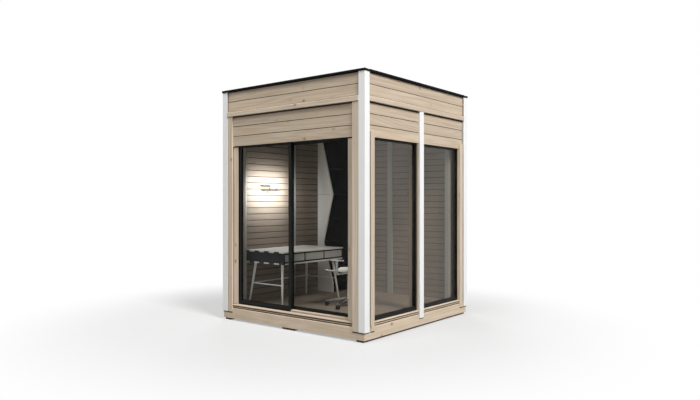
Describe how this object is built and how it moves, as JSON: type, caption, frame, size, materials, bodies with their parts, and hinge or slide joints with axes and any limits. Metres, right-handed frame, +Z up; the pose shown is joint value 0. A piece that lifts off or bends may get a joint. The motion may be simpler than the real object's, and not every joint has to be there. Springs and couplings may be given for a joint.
{
  "type": "garden house",
  "caption": "Square flat-roofed timber garden house on runners, with a glazed sliding door in front, tall fixed windows on one side, white corner posts and a boarded fascia.",
  "frame": {"origin": "ground level, under the centre of the square roof", "axes": "+Z up; the sliding door faces -Y and the two tall windows face +X"},
  "size_m": [2.36, 2.36, 3],
  "materials": {
    "runner_timber": "rough sawn, dark treated softwood",
    "timber": "pale grey-beige softwood, fine grain, matt",
    "inner_timber": "planed softwood, matt",
    "floor_timber": "planed floor boards, matt oiled",
    "white_paint": "smooth white paint over timber",
    "black_frame": "satin black powder coat",
    "glass": "clear double glazing",
    "roofing": "black roofing felt",
    "edge_metal": "matt black folded metal",
    "white_lacquer": "satin white lacquer",
    "black_board": "matt black laminate",
    "grey_felt": "grey felt",
    "white_shell": "smooth white shell",
    "chair_metal": "polished aluminium",
    "castor_plastic": "black plastic",
    "lamp_metal": "dark grey paint"
  },
  "bodies": {
    "house": {"runners": "runner_timber", "base_beams_long": "timber", "base_beams_cross": "timber", "plinth_strips": "timber", "corner_studs": "timber", "left_wall": "timber", "back_wall": "timber", "front_header": "timber", "right_header": "timber", "front_corner_boards": "timber", "front_jambs": "timber", "front_sill": "timber", "threshold_board": "timber", "window_mullion": "timber", "window_casings": "timber", "window_sills": "timber", "fascia_boards": "timber", "drip_strips": "timber", "ceiling": "inner_timber", "floor_frame": "inner_timber", "roof_deck": "inner_timber", "floor_boards": "floor_timber", "corner_posts": "white_paint", "outer_battens": "white_paint", "inner_posts": "white_paint", "door_head": "black_frame", "door_side_frames": "black_frame", "door_track": "black_frame", "fixed_leaf_frame": "black_frame", "window_frames": "black_frame", "fixed_leaf_glass": "glass", "window_panes": "glass", "roof_membrane": "roofing", "roof_edge": "edge_metal", "desk_boards": "white_lacquer", "desk_legs": "white_lacquer", "shelf_end_panel": "white_lacquer", "desk_case": "black_board", "shelf_case": "black_board", "desk_drawer_fronts": "grey_felt", "chair_shell": "white_shell", "chair_frame": "chair_metal", "chair_castors": "castor_plastic", "wall_lamp": "lamp_metal"},
    "sliding_leaf": {"sliding_leaf_frame": "black_frame", "sliding_leaf_glass": "glass"}
  },
  "joints": [
    {"name": "door_slide", "type": "slide", "parent": "house", "child": "sliding_leaf", "axis": [-1, 0, 0], "range_m": [0, 0.855]}
  ]
}
